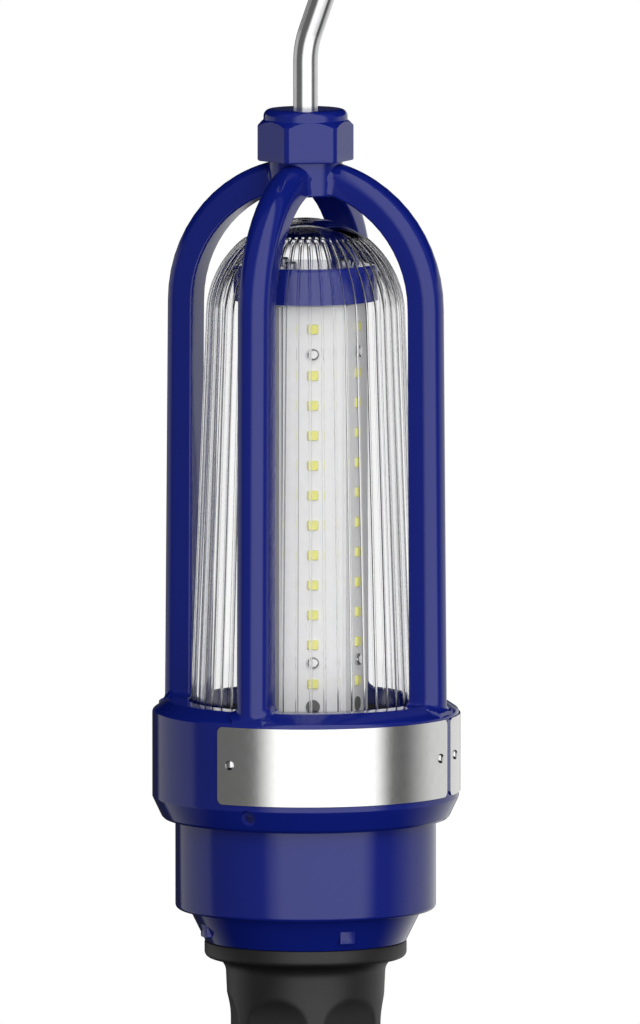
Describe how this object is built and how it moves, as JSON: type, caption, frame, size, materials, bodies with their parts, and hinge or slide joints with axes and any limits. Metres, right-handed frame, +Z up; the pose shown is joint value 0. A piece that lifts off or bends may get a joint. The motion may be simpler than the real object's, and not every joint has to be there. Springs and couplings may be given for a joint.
{
  "type": "caged hand lamp",
  "caption": "Hand-held work light: ribbed glass globe over an LED tower in a cast cage, with a swivelling hanging hook, metal barrel and fluted handle.",
  "frame": {"origin": "seat of the hook, the underside of its crest, on the lamp's axis", "axes": "+Z up along the lamp's axis, towards the hook's crest; the guard arms stand on +X, -X, +Y and -Y, and the hook leans towards +X"},
  "size_m": [0.1012, 0.1024, 0.5397],
  "materials": {
    "bright_rod": "bright plated steel rod",
    "zinc_steel": "zinc-plated",
    "bronze": "turned",
    "blue_enamel": "gloss blue enamel on cast aluminium",
    "blue_cover": "gloss blue enamel",
    "black_oxide": "black oxide",
    "bright_plate": "bright stainless sheet",
    "rivet_steel": "polished",
    "clear_glass": "clear, ribbed",
    "seal_rubber": "moulded",
    "machined_aluminium": "machined",
    "extruded_aluminium": "extruded",
    "white_board": "white solder mask",
    "led_phosphor": "yellow phosphor in clear resin",
    "lead_insulation": "extruded insulation",
    "earth_insulation": "extruded insulation",
    "circuit_board": "green solder mask",
    "ferrite": "ferrite and tape",
    "capacitor_sleeve": "shrink sleeve",
    "copper_winding": "enamelled wire",
    "terminal_plastic": "moulded",
    "grip_plastic": "satin black moulding",
    "nickel_brass": "nickel-plated"
  },
  "bodies": {
    "hook": {"hook_rod": "bright_rod", "hook_collar": "zinc_steel", "hook_pin": "zinc_steel"},
    "lamp": {"barrel_housing": "blue_enamel", "barrel_oring": "seal_rubber", "board_grommets": "seal_rubber", "board_leads": "lead_insulation", "board_screws": "rivet_steel", "collar_set_screws": "blue_enamel", "driver_board": "circuit_board", "driver_capacitors": "capacitor_sleeve", "driver_inductor": "copper_winding", "driver_screws": "zinc_steel", "driver_standoffs": "zinc_steel", "driver_transformer": "ferrite", "earth_lead": "earth_insulation", "earth_lug": "bronze", "earth_screw": "bronze", "gland_body": "nickel_brass", "gland_bush": "seal_rubber", "gland_nut": "nickel_brass", "gland_washer": "zinc_steel", "globe": "clear_glass", "globe_gasket_lower": "seal_rubber", "globe_gasket_upper": "seal_rubber", "globe_retaining_ring": "machined_aluminium", "guard_casting": "blue_enamel", "handle_grip": "grip_plastic", "handle_tube": "machined_aluminium", "hex_cap": "blue_enamel", "led_board_1": "white_board", "led_board_2": "white_board", "led_board_3": "white_board", "led_board_4": "white_board", "led_board_5": "white_board", "led_board_6": "white_board", "led_chips_1": "led_phosphor", "led_chips_2": "led_phosphor", "led_chips_3": "led_phosphor", "led_chips_4": "led_phosphor", "led_chips_5": "led_phosphor", "led_chips_6": "led_phosphor", "nameplate_front": "bright_plate", "nameplate_rivets": "rivet_steel", "nameplate_side": "bright_plate", "spring_washer": "zinc_steel", "terminal_block": "terminal_plastic", "terminal_screws": "zinc_steel", "thrust_washer": "bronze", "tower_base": "machined_aluminium", "tower_base_screws": "zinc_steel", "tower_cap": "blue_cover", "tower_cap_screws": "zinc_steel", "tower_foot_screws": "zinc_steel", "tower_heatsink": "extruded_aluminium"}
  },
  "joints": [
    {"name": "hook_swivel", "type": "hinge", "parent": "hook", "child": "lamp", "pos_m": [0, 0, -0.1177], "axis": [0, 0, 1], "continuous": true}
  ]
}
